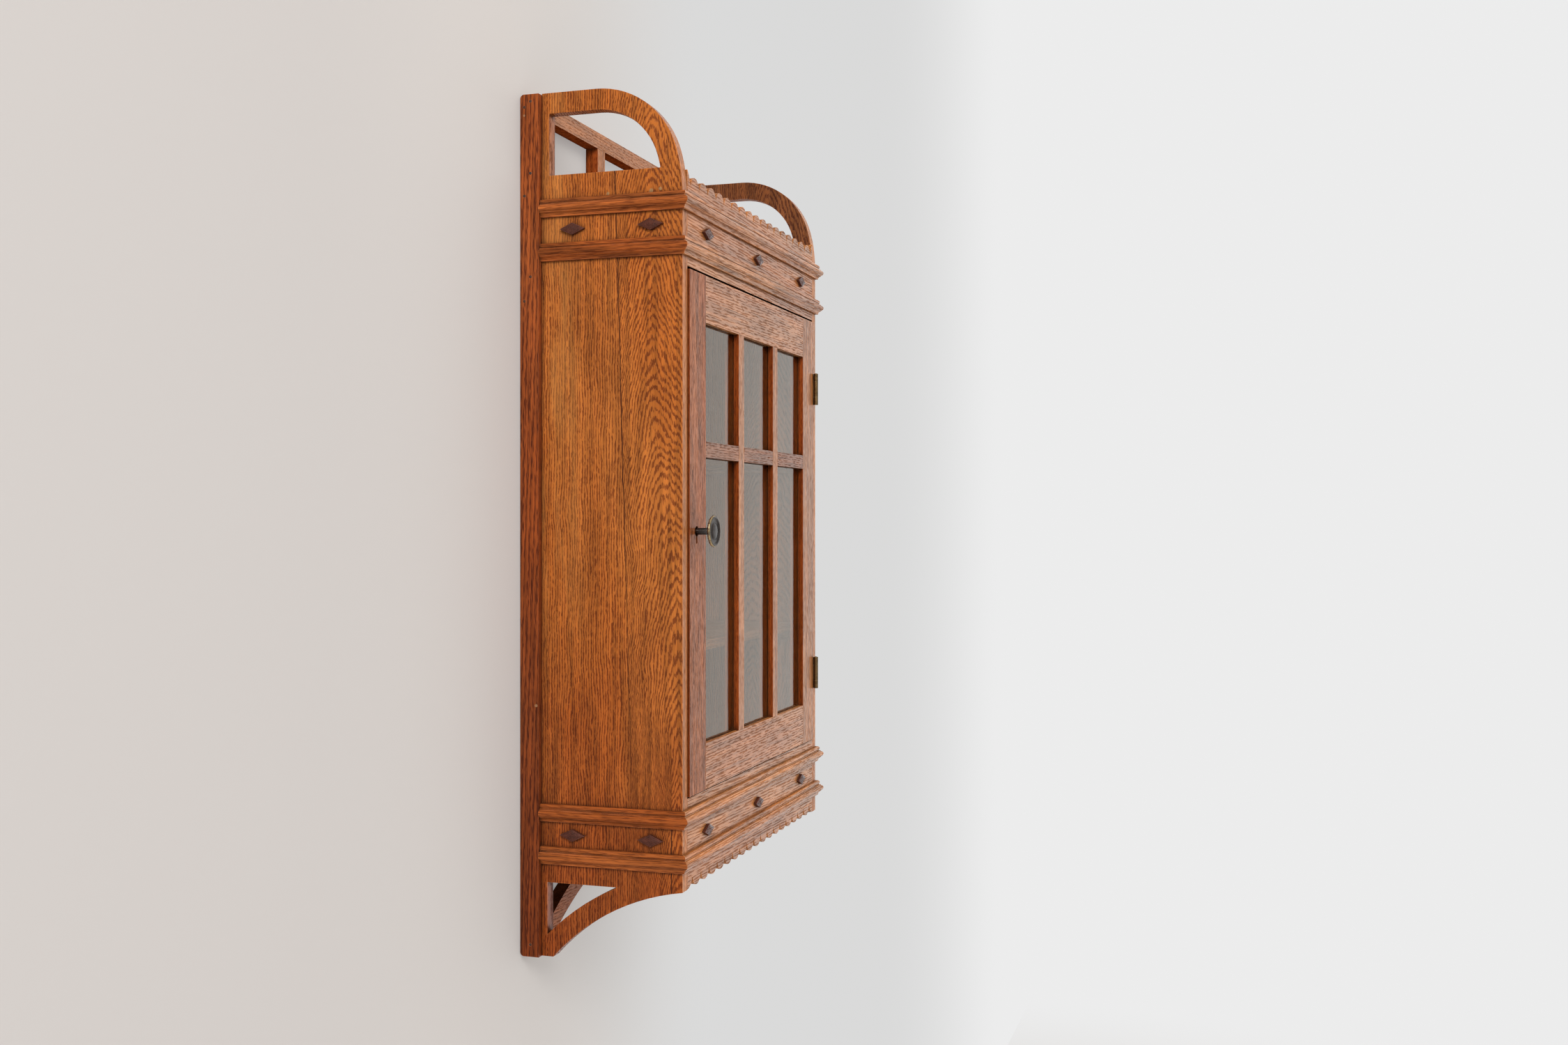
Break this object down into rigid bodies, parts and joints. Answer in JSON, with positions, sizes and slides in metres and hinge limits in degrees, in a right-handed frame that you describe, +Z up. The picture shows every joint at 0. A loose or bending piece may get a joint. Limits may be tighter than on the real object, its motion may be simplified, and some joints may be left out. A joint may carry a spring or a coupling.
{
  "type": "wall cabinet",
  "caption": "Shallow wooden wall cabinet with a glazed door, scalloped friezes, an open gallery on top and scooped bracket feet.",
  "frame": {"origin": "on the wall face of the hanging rail, midway between the two wall screws", "axes": "+X to the right seen from the front, +Y into the wall, +Z up"},
  "size_m": [0.464, 0.1907, 0.8515],
  "materials": {
    "side_wood": "varnished oak, worn satin",
    "post_wood": "varnished, redder and darker",
    "front_wood": "varnished oak, worn satin",
    "door_wood": "varnished oak, worn satin",
    "moulding_wood": "varnished oak, dark in the hollows",
    "stud_wood": "dark varnish, worn at the edges",
    "inner_wood": "plain, dull, unvarnished",
    "old_glass": "clear, slightly wavy",
    "hinge_brass": "tarnished",
    "screw_steel": "dull, a little rust",
    "nail_iron": "dark, rusted",
    "lock_iron": "dark, plain",
    "bolt_steel": "worn bright",
    "key_bronze": "dark bronze, bright at the rim"
  },
  "bodies": {
    "carcase": {"post_left": "post_wood", "post_right": "post_wood", "gallery_rail": "post_wood", "gallery_foot_rail": "post_wood", "gallery_bar_left": "post_wood", "gallery_bar_right": "post_wood", "hanging_rail": "inner_wood", "arched_rail": "post_wood", "back_board_1": "inner_wood", "back_board_2": "inner_wood", "back_board_3": "inner_wood", "side_left": "side_wood", "side_right": "side_wood", "case_top": "inner_wood", "case_bottom": "inner_wood", "shelf_upper": "inner_wood", "shelf_lower": "inner_wood", "shelf_cleats": "inner_wood", "door_stop": "inner_wood", "frieze_top": "front_wood", "frieze_bottom": "front_wood", "moulding_top_upper": "moulding_wood", "moulding_top_lower": "moulding_wood", "moulding_bottom_upper": "moulding_wood", "moulding_bottom_lower": "moulding_wood", "moulding_returns_left": "moulding_wood", "moulding_returns_right": "moulding_wood", "studs_left": "stud_wood", "studs_right": "stud_wood", "studs_front": "stud_wood", "nails": "nail_iron", "case_screws": "screw_steel", "hinge_upper_case_leaf": "hinge_brass", "hinge_lower_case_leaf": "hinge_brass", "hinge_pins": "hinge_brass", "keeper_plate": "lock_iron"},
    "door": {"stile_left": "door_wood", "stile_right": "door_wood", "door_rail_top": "door_wood", "door_rail_bottom": "door_wood", "upright_bar_left": "door_wood", "upright_bar_right": "door_wood", "cross_bar_left": "door_wood", "cross_bar_middle": "door_wood", "cross_bar_right": "door_wood", "pane_upper_left": "old_glass", "pane_upper_middle": "old_glass", "pane_upper_right": "old_glass", "pane_lower_left": "old_glass", "pane_lower_middle": "old_glass", "pane_lower_right": "old_glass", "glazing_beads": "inner_wood", "hinge_upper_door_leaf": "hinge_brass", "hinge_lower_door_leaf": "hinge_brass", "door_screws": "screw_steel", "lock_case": "lock_iron", "lock_cover": "lock_iron"},
    "key": {"key": "key_bronze"},
    "bolt": {"lock_bolt": "bolt_steel"}
  },
  "joints": [
    {"name": "door_hinge", "type": "hinge", "parent": "carcase", "child": "door", "pos_m": [0.21, -0.174, 0], "axis": [0, 0, 1], "range_deg": [0, 175]},
    {"name": "key_turn", "type": "hinge", "parent": "door", "child": "key", "pos_m": [-0.1905, -0.16, -0.2387], "axis": [0, 1, 0], "range_deg": [0, 90]},
    {"name": "bolt_slide", "type": "slide", "parent": "door", "child": "bolt", "axis": [-1, 0, 0], "range_m": [0, 0.007]}
  ],
  "couplings": [
    {"joint": "bolt_slide", "follows": "key_turn", "m_per_rad": 0.004456}
  ]
}
